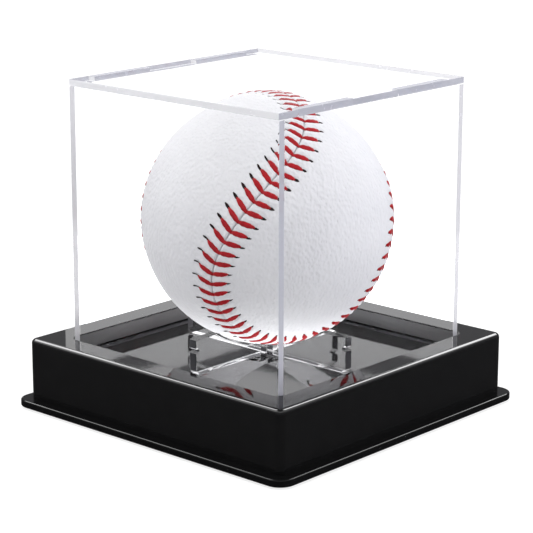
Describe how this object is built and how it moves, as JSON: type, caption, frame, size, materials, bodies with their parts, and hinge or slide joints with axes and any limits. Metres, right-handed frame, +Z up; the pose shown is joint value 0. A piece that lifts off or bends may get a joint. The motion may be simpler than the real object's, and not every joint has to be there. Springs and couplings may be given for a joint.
{
  "type": "ball display case",
  "caption": "Clear square cover standing in the recess of a glossy black two-tier plinth, over a stitched leather ball on crossed clear cradle plates.",
  "frame": {"origin": "centre of the footprint, on the surface that the foot pads stand on", "axes": "+Z up, +X to the right and +Y to the back, along the sides of the square base"},
  "size_m": [0.1084, 0.1084, 0.1001],
  "materials": {
    "clear_acrylic": "polished clear acrylic sheet",
    "black_gloss": "high gloss moulded black",
    "black_rubber": "matt",
    "red_rubber": "matt",
    "steel": "zinc plated",
    "cork": "ground cork",
    "grey_yarn": "wound wool yarn",
    "white_yarn": "wound yarn",
    "white_leather": "white grained leather",
    "red_thread": "waxed twisted thread"
  },
  "bodies": {
    "base": {"plinth_shell": "black_gloss", "bottom_plate": "black_gloss", "bottom_screws": "steel", "foot_pad_front_left": "black_rubber", "foot_pad_front_right": "black_rubber", "foot_pad_back_left": "black_rubber", "foot_pad_back_right": "black_rubber", "cradle_plate_across": "clear_acrylic", "cradle_plate_along": "clear_acrylic"},
    "cover": {"cover_top_panel": "clear_acrylic", "cover_front_wall": "clear_acrylic", "cover_back_wall": "clear_acrylic", "cover_left_wall": "clear_acrylic", "cover_right_wall": "clear_acrylic"},
    "ball": {"ball_cork_core": "cork", "ball_black_rubber": "black_rubber", "ball_red_rubber": "red_rubber", "ball_inner_grey_yarn": "grey_yarn", "ball_white_yarn": "white_yarn", "ball_outer_grey_yarn": "grey_yarn", "ball_finish_winding": "white_yarn", "ball_leather_a": "white_leather", "ball_leather_b": "white_leather", "ball_stitches": "red_thread"}
  },
  "joints": [
    {"name": "cover_lift", "type": "slide", "parent": "base", "child": "cover", "axis": [0, 0, 1], "range_m": [0, 0.1]},
    {"name": "ball_turn", "type": "hinge", "parent": "base", "child": "ball", "pos_m": [0, 0, 0.05765], "axis": [0, 0, 1], "continuous": true}
  ]
}
